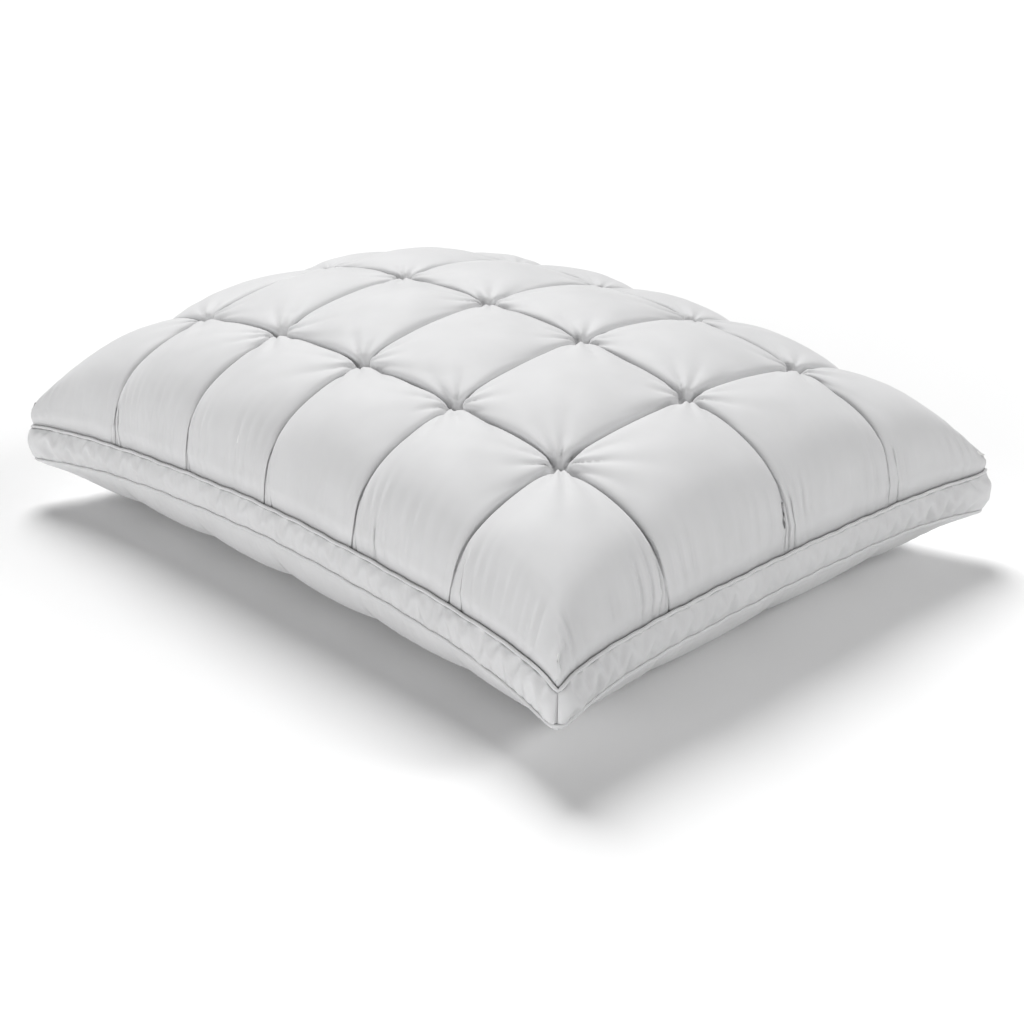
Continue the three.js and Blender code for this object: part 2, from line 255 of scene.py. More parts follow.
def grid_lines(count, steps):
    """Grid lines across the boxes, closer together beside the seams."""
    even = np.arange(count * steps + 1) / steps
    lines = even - SEAM_CROWDING * np.sin(2 * math.pi * even) / (2 * math.pi)
    lines[::steps] = np.arange(count + 1)
    return lines


def base_grid(seams, level, steps):
    """A face's points at the level of its seams, with its border on the piping."""
    a, b = np.meshgrid(grid_lines(COLUMNS, steps), grid_lines(ROWS, steps), indexing="ij")
    base = seams(a, b)
    near, far, left, right = border_targets(a, b, level)
    shift_near = near - base[:, 0]
    shift_far = far - base[:, -1]
    shift_left = left - base[0, :]
    shift_right = right - base[-1, :]
    reach = 0.16  # of a box, over which the border's shift fades

    def fall(distance):
        return np.exp(-(distance / reach) ** 2)

    wa, wb = fall(a)[..., None], fall(b)[..., None]
    wa2, wb2 = fall(COLUMNS - a)[..., None], fall(ROWS - b)[..., None]
    shift = wb * shift_near[:, None] + wb2 * shift_far[:, None]
    shift = shift + wa * shift_left[None] + wa2 * shift_right[None]
    shift = shift - wa * wb * shift_left[0] - wa2 * wb * shift_right[0]
    shift = shift - wa * wb2 * shift_left[-1] - wa2 * wb2 * shift_right[-1]
    return a, b, base + shift


# ---- The cloth solver ----

def unit(vectors):
    return vectors / np.maximum(np.linalg.norm(vectors, axis=-1, keepdims=True), 1e-12)


def grid_normals(points, outward):
    along_a = np.gradient(points, axis=0)
    along_b = np.gradient(points, axis=1)
    return unit(np.cross(along_a, along_b)) * outward


LINKS = {  # steps between the two ends of a thread's pieces, by name
    "a": (1, 0), "b": (0, 1), "rising": (1, 1), "falling": (1, -1), "a2": (2, 0), "b2": (0, 2),
}


def ends_of(link, array):
    """Views of the first and second ends of all links of one kind."""
    da, db = LINKS[link]
    if db >= 0:
        return array[:array.shape[0] - da, :array.shape[1] - db], array[da:, db:]
    return array[:-da, -db:], array[da:, :db]


def halves_of(link):
    """The links split in two sets, in each of which no two share an end."""
    da, db = LINKS[link]
    step = max(da, abs(db))
    sets = []
    for phase in range(2):
        for offset in range(step):
            start = phase * step + offset
            pick = slice(start, None, 2 * step)
            sets.append((pick, slice(None)) if da else (slice(None), pick))
    return sets


def lengths_of(link, points):
    first, second = ends_of(link, points)
    return np.linalg.norm(second - first, axis=-1)


class Cloth:
    """A grid of points with thread lengths, pinned points and limits round a base."""

    def __init__(self, base, outward, rests, free, limits, floor=None):
        self.base = base.astype(np.float32)
        self.outward = outward
        self.rests = {link: rest.astype(np.float32) for link, rest in rests.items()}
        self.free = free.astype(np.float32)
        self.limits = limits
        self.floor = floor
        self.normal = grid_normals(base, outward).astype(np.float32)
        self.tangent = unit(np.gradient(base, axis=0)).astype(np.float32)
        self.across = np.cross(self.normal, self.tangent).astype(np.float32)

    def local(self, points):
        """Points as offsets along the base's tangent, across it, and out of it."""
        away = points - self.base
        return np.stack([(away * self.tangent).sum(-1), (away * self.across).sum(-1),
                         (away * self.normal).sum(-1)], -1)

    def world(self, offsets):
        return (self.base + offsets[..., :1] * self.tangent + offsets[..., 1:2] * self.across
                + offsets[..., 2:] * self.normal)

    def hold_lengths(self, points, stiffness):
        for link, share in stiffness.items():
            first, second = ends_of(link, points)
            free_first, free_second = ends_of(link, self.free)
            rest = self.rests[link]
            for pick in halves_of(link):
                p, q = first[pick], second[pick]
                fp, fq = free_first[pick], free_second[pick]
                gap = q - p
                length = np.sqrt((gap * gap).sum(-1)) + 1e-9
                push = share * (1 - rest[pick] / length) / np.maximum(fp + fq, 1e-6)
                p += gap * (push * fp)[..., None]
                q -= gap * (push * fq)[..., None]

    def hold_limits(self, points):
        low, high = self.limits
        offsets = np.clip(self.local(points), low, high)
        points[...] = self.world(offsets)
        if self.floor is not None:
            points[..., 2] = np.maximum(points[..., 2], self.floor)

    def settle(self, points, steps, rounds, pressure, stiffness, keep=0.85):
        points = points.astype(np.float32).copy()
        speed = np.zeros_like(points)
        free = self.free[..., None]
        for _ in range(steps):
            before = points.copy()
            push = grid_normals(points, self.outward) * np.float32(pressure)
            points += free * (speed * np.float32(keep) + push)
            for _ in range(rounds):
                self.hold_lengths(points, stiffness)
                self.hold_limits(points)
            speed = points - before
        return points


def grow(field, count_a, count_b, soft=False):
    """A grid field at a new number of points, by straight mixing or by a soft one."""
    rows, cols = field.shape[:2]
    at_a = np.linspace(0, rows - 1, count_a)
    at_b = np.linspace(0, cols - 1, count_b)
    ia = np.minimum(at_a.astype(int), rows - 2)
    ib = np.minimum(at_b.astype(int), cols - 2)
    sa = (at_a - ia)[:, None, None]
    sb = (at_b - ib)[None, :, None]
    if soft:
        sa = sa * sa * (3 - 2 * sa)
        sb = sb * sb * (3 - 2 * sb)
    mixed = field[ia] * (1 - sa) + field[ia + 1] * sa
    return mixed[:, ib] * (1 - sb) + mixed[:, ib + 1] * sb


def smooth_noise(shape, cells, count=1):
    """Seeded noise between about -1 and 1 that changes over a number of cells."""
    coarse = rng.normal(size=(max(3, cells[0]), max(3, cells[1]), count))
    field = grow(coarse, *shape)
    return field / np.abs(field).max()


# ---- Quilted panels ----

TUFT_REACH = 24 * MM
TUFT_GATHER = 0.42  # extra length round a tuft, as a share
WIDE_GATHER = 0.2  # extra length further round a tuft
WIDE_REACH = 42 * MM
EDGE_GATHER = 0.26  # extra length along the piping
EDGE_REACH = 22 * MM
FLUTES = 13  # folds round a tuft
FLUTE_START = 9 * MM  # from the tuft to where the folds have their full height
FLUTE_REACH = 40 * MM
FLUTE_HEIGHT = 3.4 * MM
GATHER_SPACING = 10 * MM  # from one fold to the next along the piping
GATHER_START = 3 * MM  # from the piping to where a fold has its full height
CORNER_START = 22 * MM  # from a corner to where the folds have their full height
GATHER_REACH = 18 * MM
GATHER_HEIGHT = 3.8 * MM
SEAM_FADE = 6  # how late an outer seam comes up to the piping
FILL_ROUND = 3.2 * MM  # how far from a seam the fill under it is rounded off
FILL_SHOULDER = 0.32  # height of the fill's rounded edge, as a share of its dome
FILL_PLAY = 0.15 * MM  # how far the cloth may be from its place on the fill
TUFT_OPEN = 4.5 * MM  # round a tuft the fill is pressed away
SWELL_SHAPE = 0.6  # the lower, the flatter the middle of a box
EDGE_SLOPE = 18 * MM  # how far from the piping the fill has its full height
FAR_OFF = 60 * MM  # further than any fold goes
SIDE_PLAY = 0.8 * MM  # how far a seam may wander sideways
WALL_GAP = 0.5 * MM  # cloth stays this far from the wall over a seam
CORNER_CALM = 45 * MM  # the gathers along the piping stop this far from a corner
CREASE_LENGTH = 0.45  # extra length across a seam, close beside it
CREASE_REACH = 3.2 * MM
SEAM_DRAW = 0.05  # how much shorter an outer seam is than the face over it


def near_whole(place):
    return np.abs(place - np.round(place))


def near_seam(place, count):
    """Boxes to the nearest seam that isn't the border."""
    return np.abs(place - np.clip(np.round(place), 1, count - 1))


def grid_runs(a, b, base):
    """Metres between grid points, and metres to a box, along a and along b."""
    run_a = np.linalg.norm(np.gradient(base, axis=0), axis=-1)
    run_b = np.linalg.norm(np.gradient(base, axis=1), axis=-1)
    return run_a, run_b, run_a / np.gradient(a, axis=0), run_b / np.gradient(b, axis=1)


def panel_fields(a, b, base, fullness, gathers):
    """Extra thread length along a and along b, as shares."""
    _, _, box_a, box_b = grid_runs(a, b, base)
    to_seam_a = near_seam(a, COLUMNS) * box_a
    to_seam_b = near_seam(b, ROWS) * box_b
    from_end = np.minimum(a, COLUMNS - a) * box_a
    from_side = np.minimum(b, ROWS - b) * box_b
    calm = 1 - np.exp(-((from_end + from_side) / CORNER_CALM) ** 2)
    full_a = fullness * calm * np.sin(np.pi * b) ** 2
    full_b = fullness * calm * np.sin(np.pi * a) ** 2
    towards_end, towards_side = outer_shares(a, b)
    crease_a = CREASE_LENGTH * (1 - towards_side) * np.exp(-(to_seam_a / CREASE_REACH) ** 2)
    crease_b = CREASE_LENGTH * (1 - towards_end) * np.exp(-(to_seam_b / CREASE_REACH) ** 2)
    full_a = full_a + crease_a
    full_b = full_b + crease_b
    in_end_box = a * (COLUMNS - a) < COLUMNS - 1
    in_side_box = b * (ROWS - b) < ROWS - 1
    draw_reach = 2 * CREASE_REACH
    full_a = full_a - SEAM_DRAW * in_end_box * np.exp(-(to_seam_b / draw_reach) ** 2)
    full_b = full_b - SEAM_DRAW * in_side_box * np.exp(-(to_seam_a / draw_reach) ** 2)
    gather = EDGE_GATHER * gathers * calm
    full_a = full_a + gather * np.exp(-(from_side / EDGE_REACH) ** 1.5)
    full_b = full_b + gather * np.exp(-(from_end / EDGE_REACH) ** 1.5)
    return full_a, full_b


def from_tufts(a, b, box_a, box_b):
    """For each tuft in turn, how far every point is from it along a and along b."""
    for column in range(1, COLUMNS):
        for row in range(1, ROWS):
            yield (a - column) * box_a, (b - row) * box_b


def tuft_stretch(a, b, base, direction):
    """Extra length of a thread with a direction in the grid, from the tufts near it."""
    run_a, run_b, box_a, box_b = grid_runs(a, b, base)
    along_a, along_b = direction[0] * run_a, direction[1] * run_b
    run = np.hypot(along_a, along_b)
    extra = np.zeros_like(a)
    for from_a, from_b in from_tufts(a, b, box_a, box_b):
        away = np.hypot(from_a, from_b) + 1e-9
        near = TUFT_GATHER * np.exp(-(away / TUFT_REACH) ** 2)
        near = near + WIDE_GATHER * np.exp(-(away / WIDE_REACH) ** 2)
        around = (from_a * along_b - from_b * along_a) / (away * run)
        extra += near * around ** 2
    return extra


def panel_rests(a, b, base, fullness, gathers):
    """Thread lengths at rest, for each kind of link."""
    full_a, full_b = panel_fields(a, b, base, fullness, gathers)
    rests = {}
    for link, direction in LINKS.items():
        length = lengths_of(link, base)
        run_a, run_b = (abs(d) for d in direction)
        extra = (full_a * run_a + full_b * run_b) / (run_a + run_b)
        extra = extra + gathers * tuft_stretch(a, b, base, direction)
        first, second = ends_of(link, extra)
        rests[link] = length * (1 + (first + second) / 2)
    return rests


def panel_limits(a, b, base, arch, depth, dome, relief):
    """Lowest and highest offsets from the base: seams, walls over them, and the fill."""
    _, _, box_a, box_b = grid_runs(a, b, base)
    low = np.full(a.shape + (3,), -FAR_OFF)
    high = np.full(a.shape + (3,), FAR_OFF)
    for axis, (place, count, width) in enumerate([(a, COLUMNS, box_a), (b, ROWS, box_b)]):
        share = place - np.floor(place)
        to_low = np.where(place < 1, FAR_OFF, share * width - WALL_GAP)
        to_high = np.where(place > count - 1, FAR_OFF, (1 - share) * width - WALL_GAP)
        on_seam = near_whole(place) < 1e-6
        low[..., axis] = np.where(on_seam, -SIDE_PLAY, -np.maximum(to_low, 0))
        high[..., axis] = np.where(on_seam, SIDE_PLAY, np.maximum(to_high, 0))
    outward = np.maximum(*outer_shares(a, b))
    sunk = depth * (1 - outward ** SEAM_FADE)
    on_a = near_whole(a) < 1e-6
    on_b = near_whole(b) < 1e-6
    between = np.where(on_a, np.abs(np.sin(np.pi * b)), np.abs(np.sin(np.pi * a)))
    rise = arch * between - sunk
    to_seam_a = near_seam(a, COLUMNS) * box_a
    to_seam_b = near_seam(b, ROWS) * box_b
    to_seam = np.minimum(to_seam_a, to_seam_b)
    to_tuft = np.hypot(to_seam_a, to_seam_b)
    to_edge = np.minimum(np.minimum(a, COLUMNS - a) * box_a, np.minimum(b, ROWS - b) * box_b)
    edge_share = 1 - np.exp(-(to_edge / EDGE_SLOPE) ** 2)
    rounded = 1 - np.exp(-(to_seam / FILL_ROUND) ** 1.5)
    shoulder = rounded * (1 - np.exp(-(to_tuft / TUFT_OPEN) ** 2))
    swell = np.abs(np.sin(np.pi * a) * np.sin(np.pi * b)) ** SWELL_SHAPE
    fill = -sunk + shoulder * (sunk + FILL_SHOULDER * dome) + (1 - FILL_SHOULDER) * dome * swell
    fill = fill * edge_share + relief
    low[..., 2] = fill - FILL_PLAY
    high[..., 2] = np.where(on_a | on_b, rise, fill + FILL_PLAY)
    return low, high


def crimp(phase):
    """Rounded ridges between sharp valleys, from about -0.6 to 0.4."""
    return np.abs(np.sin(phase)) ** 0.7 - 0.6


def wander(places, count, source):
    """A seeded line of values between -1 and 1, mixed smoothly between count of them."""
    knots = source.uniform(-1, 1, count + 1)
    knots[-1] = knots[0]
    return np.interp(places, np.linspace(0, 1, count + 1), knots)


def tuft_flutes(a, b, base):
    """Folds that fan out of every tuft, each of its own length."""
    _, _, box_a, box_b = grid_runs(a, b, base)
    source = np.random.default_rng(31)
    relief = np.zeros_like(a)
    for from_a, from_b in from_tufts(a, b, box_a, box_b):
        away = np.hypot(from_a, from_b)
        turn = np.arctan2(from_b, from_a) / (2 * math.pi) + 0.5
        reach = FLUTE_REACH * (1 + 0.45 * wander(turn, 22, source))
        bend = 0.25 * wander(np.clip(away / (4 * FLUTE_REACH), 0, 1), 5, source)
        phase = math.pi * FLUTES * (turn + 0.02 * wander(turn, 9, source)) + bend
        fine = math.pi * (2 * FLUTES - 5) * turn + 2 * bend
        height = np.minimum(away / FLUTE_START, 1) * np.exp(-(away / reach) ** 2)
        inner = np.exp(-(away / (0.5 * reach)) ** 2)
        relief += FLUTE_HEIGHT * (height * crimp(phase) + 0.4 * inner * height * crimp(fine))
    return relief


def edge_gathers(a, b, base):
    """Folds that stand on the piping, each of its own length."""
    _, _, box_a, box_b = grid_runs(a, b, base)
    source = np.random.default_rng(32)
    relief = np.zeros_like(a)
    sides = [(a / COLUMNS, b * box_b, LENGTH), (a / COLUMNS, (ROWS - b) * box_b, LENGTH),
             (b / ROWS, a * box_a, WIDTH), (b / ROWS, (COLUMNS - a) * box_a, WIDTH)]
    for along, away, run in sides:
        count = int(run / GATHER_SPACING)
        shifted = count * along + 1.2 * wander(along, count // 3, source)
        slant = away / GATHER_REACH * 0.3 * wander(along, count // 4, source)
        reach = GATHER_REACH * (1 + 0.6 * wander(along, count, source))
        strength = 0.7 + 0.5 * wander(along, count // 3, source)
        rising = 1 - np.exp(-(away / GATHER_START) ** 2)
        to_corner = np.minimum(along, 1 - along) * run
        rising = rising * (1 - np.exp(-(to_corner / CORNER_START) ** 2))
        height = strength * rising * np.exp(-(away / reach) ** 1.5)
        relief += GATHER_HEIGHT * height * crimp(math.pi * (shifted + slant))
    return relief


def soft_dents(a, b):
    """Shallow hollows in the fill, at three sizes."""
    source = np.random.default_rng(33)
    inside = np.abs(np.sin(np.pi * a) * np.sin(np.pi * b))
    relief = np.zeros_like(a)
    for cells, height in ((2.3, 1.4 * MM), (5, 0.9 * MM), (11, 0.45 * MM)):
        shape = (int(cells * COLUMNS) + 1, int(cells * ROWS) + 1, 1)
        relief += height * grow(source.uniform(-0.5, 0.5, shape), *a.shape, True)[..., 0]
    return relief * inside ** 0.4


# Each level: steps to a box, moves, rounds to a move, pressure, share of the gathers.
COARSE_LEVELS = [(8, 80, 4, 0.12 * MM, 0), (16, 80, 6, 0.04 * MM, 0),
                 (24, 60, 6, 0.02 * MM, 0.3)]
FINE_LEVELS = [(56, 100, 6, 0.004 * MM, 1)]
LEVELS = COARSE_LEVELS + FINE_LEVELS
PANEL_STIFFNESS = {"a": 1.0, "b": 1.0, "rising": 0.12, "falling": 0.12,
                   "a2": 0.015, "b2": 0.015}
PANEL_RUFFLE = 0.5 * MM  # height of the seeded waves the cloth starts from
TUFT_PULL = 0.7  # how deep a tuft is, as a share of the depth of the seams


def settle_panel(seams, level, fullness, gathers, arch, depth, dome, floor=None):
    """The fabric of one face, worked out coarse first and then finer."""
    offsets = None
    for steps, moves, rounds, pressure, gathered in LEVELS:
        a, b, base = base_grid(seams, level, steps)
        free = np.ones(a.shape)
        free[0, :] = free[-1, :] = free[:, 0] = free[:, -1] = 0
        inside = (a > 0) & (a < COLUMNS) & (b > 0) & (b < ROWS)
        tufts = (near_whole(a) < 1e-6) & (near_whole(b) < 1e-6) & inside
        free[tufts] = 0
        rests = panel_rests(a, b, base, fullness, gathers * gathered)
        relief = tuft_flutes(a, b, base) + edge_gathers(a, b, base) + soft_dents(a, b)
        relief = gathers * gathered * relief
        limits = panel_limits(a, b, base, arch, depth, dome, relief)
        cloth = Cloth(base, level, rests, free, limits, floor)
        if offsets is None:
            lump = np.abs(np.sin(np.pi * a) * np.sin(np.pi * b)) * dome
            offsets = np.stack([np.zeros_like(lump), np.zeros_like(lump), lump], -1)
        else:
            offsets = grow(offsets, *a.shape)
        ruffle = smooth_noise(a.shape, (COLUMNS * 6, ROWS * 6), 3) * PANEL_RUFFLE
        start = cloth.world((offsets + ruffle * free[..., None]).astype(np.float32))
        start[free == 0] = cloth.base[free == 0]
        start[tufts] -= cloth.normal[tufts] * np.float32(TUFT_PULL * depth)
        points = cloth.settle(start, moves, rounds, pressure, PANEL_STIFFNESS)
        offsets = cloth.local(points)
    return {"base": base, "points": points.astype(float),
            "normal": cloth.normal.astype(float), "steps": steps, "level": level}


# ---- Meshes ----

def make_object(name, verts, faces, uvs=None, material=None):
    name = f"soft_{name}"
    mesh = bpy.data.meshes.new(name)
    mesh.from_pydata([tuple(v) for v in verts], [], [tuple(f) for f in faces])
    mesh.update()
    mesh.shade_smooth()
    if uvs is not None:
        layer = mesh.uv_layers.new(name="cloth")
        corner_vertices = np.zeros(len(mesh.loops), int)
        mesh.loops.foreach_get("vertex_index", corner_vertices)
        layer.data.foreach_set("uv", np.asarray(uvs, np.float32)[corner_vertices].ravel())
    if material is not None:
        mesh.materials.append(material)
    piece = bpy.data.objects.new(name, mesh)
    bpy.context.scene.collection.objects.link(piece)
    return piece


def grid_faces(count_a, count_b, first=0, flip=False):
    index = first + np.arange(count_a * count_b).reshape(count_a, count_b)
    quads = np.stack([index[:-1, :-1], index[1:, :-1], index[1:, 1:], index[:-1, 1:]], -1)
    quads = quads.reshape(-1, 4)
    return quads[:, ::-1] if flip else quads


def border_loop(index):
    """Indices round the edge of a grid, in order."""
    return np.concatenate([index[:, 0], index[-1, 1:], index[-2::-1, -1], index[0, -2:0:-1]])


def shell(name, outer, inner, outward, uv_grid=None, material=None, stride=1):
    """A closed sheet between two grids, the inner one stride times as coarse."""
    inner = inner[::stride, ::stride]
    flip = outward < 0
    first = outer.shape[0] * outer.shape[1]
    outside = np.arange(first).reshape(outer.shape[:2])
    inside = first + np.arange(inner.shape[0] * inner.shape[1]).reshape(inner.shape[:2])
    faces = grid_faces(*outer.shape[:2], 0, flip).tolist()
    faces += grid_faces(*inner.shape[:2], first, not flip).tolist()
    outer_rim, inner_rim = border_loop(outside), border_loop(inside)
    for k in range(len(inner_rim)):
        span = [outer_rim[(k * stride + step) % len(outer_rim)] for step in range(stride + 1)]
        side = [*span[::-1], inner_rim[k], inner_rim[(k + 1) % len(inner_rim)]]
        faces.append([int(v) for v in (side[::-1] if flip else side)])
    verts = np.concatenate([outer.reshape(-1, 3), inner.reshape(-1, 3)])
    uvs = None
    if uv_grid is not None:
        coarse = uv_grid[::stride, ::stride]
        uvs = np.concatenate([uv_grid.reshape(-1, 2), coarse.reshape(-1, 2)])
    return make_object(name, verts, faces, uvs, material)


def flat_coordinates(points):
    """Grid coordinates in metres of cloth, for the weave."""
    run_a = np.linalg.norm(np.diff(points, axis=0), axis=-1)
    run_b = np.linalg.norm(np.diff(points, axis=1), axis=-1)
    u = np.zeros(points.shape[:2])
    v = np.zeros(points.shape[:2])
    u[1:] = np.cumsum(run_a.mean(1))[:, None]
    v[:, 1:] = np.cumsum(run_b.mean(0))[None]
    return np.stack([u, v], -1)


# ---- Materials ----

class Nodes:
    """Short ways to add and join shader nodes."""

    def __init__(self, name):
        self.material = bpy.data.materials.new(name)
        self.material.use_nodes = True
        self.tree = self.material.node_tree
        self.shader = self.tree.nodes["Principled BSDF"]

    def add(self, kind, inputs=None, **settings):
        node = self.tree.nodes.new(kind)
        for key, value in settings.items():
            setattr(node, key, value)
        for key, value in (inputs or {}).items():
            if isinstance(value, bpy.types.NodeSocket):
                self.tree.links.new(value, node.inputs[key])
            else:
                node.inputs[key].default_value = value
        return node

    def math(self, operation, first, second=0.0):
        node = self.add("ShaderNodeMath", {0: first, 1: second}, operation=operation)
        return node.outputs[0]


def cloth_material(name, colour, roughness, sheen, thread, relief, streak):
    """Woven cotton: a satin face of long floats, faint slubs, and a soft sheen."""
    nodes = Nodes(name)
    place = nodes.add("ShaderNodeUVMap", uv_map="cloth").outputs[0]
    split = nodes.add("ShaderNodeSeparateXYZ", {0: place})
    turn = 2 * math.pi / thread
    warp = nodes.math("SINE", nodes.math("MULTIPLY", split.outputs[0], turn))
    shifted = nodes.math("ADD", nodes.math("MULTIPLY", split.outputs[0], turn * 0.4),
                         nodes.math("MULTIPLY", split.outputs[1], turn * 0.5))
    weft = nodes.math("SINE", shifted)
    weave = nodes.math("MULTIPLY", nodes.math("ADD", warp, weft), 0.25)
    slub_map = nodes.add("ShaderNodeMapping", {0: place, 3: (1, streak, 1)})
    slub = nodes.add("ShaderNodeTexNoise", {0: slub_map.outputs[0], "Scale": 900.0,
                                            "Detail": 2.0}, noise_dimensions="2D")
    soft = nodes.add("ShaderNodeTexNoise", {0: place, "Scale": 24.0, "Detail": 4.0},
                     noise_dimensions="2D")
    height = nodes.math("ADD", weave, slub.outputs[0])
    bump = nodes.add("ShaderNodeBump", {"Height": height, "Strength": relief,
                                        "Distance": 0.05 * MM})
    darker = tuple(c * 0.955 for c in colour) + (1,)
    ramp = nodes.add("ShaderNodeMapRange", {0: soft.outputs[0], 1: 0.3, 2: 0.7})
    mix = nodes.add("ShaderNodeMix", {"Factor": ramp.outputs[0], 6: darker,
                                      7: tuple(colour) + (1,)}, data_type="RGBA")
    nodes.tree.links.new(mix.outputs[2], nodes.shader.inputs["Base Color"])
    rough = nodes.add("ShaderNodeMapRange", {0: slub.outputs[0], 3: roughness - 0.06,
                                             4: roughness + 0.06})
    nodes.tree.links.new(rough.outputs[0], nodes.shader.inputs["Roughness"])
    nodes.tree.links.new(bump.outputs[0], nodes.shader.inputs["Normal"])
    nodes.shader.inputs["Sheen Weight"].default_value = sheen
    nodes.shader.inputs["Sheen Roughness"].default_value = 0.4
    nodes.shader.inputs["Specular IOR Level"].default_value = 0.22
    return nodes.material


def fibre_material(name, colour, scale):
    """Loose fill: matted fibre with clumps."""
    nodes = Nodes(name)
    place = nodes.add("ShaderNodeTexCoord").outputs["Object"]
    fine = nodes.add("ShaderNodeTexNoise", {0: place, "Scale": scale, "Detail": 6.0,
                                            "Distortion": 1.5})
    clump = nodes.add("ShaderNodeTexVoronoi", {0: place, "Scale": scale / 8})
    height = nodes.math("ADD", fine.outputs[0], clump.outputs[0])
    bump = nodes.add("ShaderNodeBump", {"Height": height, "Strength": 0.5, "Distance": 0.8 * MM})
    darker = tuple(c * 0.9 for c in colour) + (1,)
    mix = nodes.add("ShaderNodeMix", {"Factor": fine.outputs[0], 6: darker,
                                      7: tuple(colour) + (1,)}, data_type="RGBA")
    nodes.tree.links.new(mix.outputs[2], nodes.shader.inputs["Base Color"])
    nodes.tree.links.new(bump.outputs[0], nodes.shader.inputs["Normal"])
    nodes.shader.inputs["Roughness"].default_value = 0.95
    return nodes.material


WHITE = (0.68, 0.68, 0.685)
cover_cloth = cloth_material("cover_satin", WHITE, 0.62, 0.12, 0.35 * MM, 0.25, 0.2)
gusset_cloth = cloth_material("gusset_satin", WHITE, 0.55, 0.12, 0.35 * MM, 0.25, 0.2)
piping_cloth = cloth_material("piping_satin", (0.68, 0.68, 0.685), 0.34, 0.4, 0.3 * MM, 0.3, 0.2)
lining_cloth = cloth_material("lining_cotton", (0.8, 0.795, 0.78), 0.85, 0.1, 0.5 * MM, 0.5, 1)
cord_cotton = fibre_material("cord_cotton", (0.78, 0.76, 0.72), 1500)
thread_cotton = fibre_material("thread_cotton", (0.7, 0.7, 0.7), 2500)
fill_fibre = fibre_material("fill_fibre", (0.88, 0.88, 0.87), 500)
core_fibre = fibre_material("core_fibre", (0.86, 0.85, 0.83), 350)


def stand_for(piece, node):
    """One body, and the CAD node the piece stands for."""
    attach(piece, "root")
    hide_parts(node)


def finish_sheet(piece, node):
    stand_for(piece, node)


# ---- Panels ----

def add_panel(face, name):
    points = face["points"]
    normal = grid_normals(points, face["level"])
    inner = points - normal * FABRIC
    piece = shell(name, points, inner, face["level"], flat_coordinates(points), cover_cloth, 2)
    finish_sheet(piece, name)


top = settle_panel(top_seams, 1, fullness=0.03, gathers=1, arch=1.5 * MM, depth=4 * MM,
                   dome=16 * MM)
bottom = settle_panel(bottom_seams, -1, fullness=0.02, gathers=0.25, arch=1 * MM,
                      depth=1 * MM, dome=9.5 * MM, floor=0.0)
add_panel(top, "top_panel")
add_panel(bottom, "bottom_panel")


# ---- Gusset and pipings ----

def even_places(spacing, start_gap=0.0):
    """Places round the outline at even steps of length, from the first corner back to it."""
    t = np.linspace(0, 4, 8001)
    run = np.linalg.norm(np.diff(rim_plan(t)[:, :2], axis=0), axis=-1)
    length = np.concatenate([[0], np.cumsum(run)])
    count = int(length[-1] / spacing)
    wanted = np.linspace(start_gap, length[-1] - start_gap, count + 1)
    return np.interp(wanted, length, t), wanted


def corner_nearness(t, reach):
    """1 at a corner, falling to 0 along the sides."""
    share = np.abs(t - np.round(t))
    run = np.where(np.floor(t) % 2 == 0, WIDTH, LENGTH)
    return np.exp(-share * run / reach)


GUSSET_PLAY = 4 * MM  # how far a fold of the gusset goes outwards or sideways
GUSSET_HOLLOW = 2.5 * MM  # how far a fold of the gusset goes inwards
CORNER_FOLDS = 60 * MM  # how far the deeper folds reach from a corner
SIDE_RUFFLE, CORNER_RUFFLE = 0.5 * MM, 2 * MM  # height of the waves it starts from
JOIN_TUCK, JOIN_REACH = 0.1 * MM, 1.5 * MM
GUSSET_STIFFNESS = {"a": 1.0, "b": 1.0, "rising": 0.08, "falling": 0.08, "a2": 0.3, "b2": 0.3}


def settle_gusset():
    """The strip between the pipings, from its join all the way round and back to it."""
    spacing = 2.2 * MM
    t, run = even_places(spacing, JOIN_GAP / 2)
    across = np.linspace(0, 1, 17)
    up = np.array([0, 0, SEWN_INSET])
    lower = piping_centre(t, -1) + up
    upper = piping_centre(t, 1) - up
    out = rim_out(t)
    mixed = lower[:, None] * (1 - across)[None, :, None] + upper[:, None] * across[None, :, None]
    from_join = np.minimum(run, run[-1] - (run - run[0]))
    tucked = JOIN_TUCK * np.exp(-from_join / JOIN_REACH)
    bulge = GUSSET_BULGE * np.sin(np.pi * across)[None, :] - tucked[:, None]
    base = mixed + out[:, None] * bulge[..., None]
    free = np.ones(base.shape[:2])
    free[:, 0] = free[:, -1] = free[0, :] = free[-1, :] = 0
    nearness = corner_nearness(t, CORNER_FOLDS)
    slack = 0.025 + 0.1 * nearness[:, None] + 0.02 * smooth_noise(base.shape[:2], (40, 3))[..., 0]
    rests = {}
    for link in LINKS:
        first, second = ends_of(link, slack)
        rests[link] = lengths_of(link, base) * (1 + (first + second) / 2)
    low = np.full(base.shape, -GUSSET_PLAY)
    high = np.full(base.shape, GUSSET_PLAY)
    low[..., 2] = -GUSSET_HOLLOW
    cloth = Cloth(base, 1, rests, free, (low, high))
    ruffle = smooth_noise(base.shape[:2], (110, 3), 3) + smooth_noise(base.shape[:2], (60, 3), 3)
    height = SIDE_RUFFLE + CORNER_RUFFLE * nearness
    start = base + height[:, None, None] * ruffle * free[..., None]
    return cloth.settle(start, 60, 6, 0.006 * MM, GUSSET_STIFFNESS).astype(float)


def add_gusset():
    points = settle_gusset()
    inner = points - grid_normals(points, 1) * GUSSET_FABRIC
    piece = shell("gusset_strip", points, inner, 1, flat_coordinates(points), gusset_cloth)
    finish_sheet(piece, "gusset_strip")


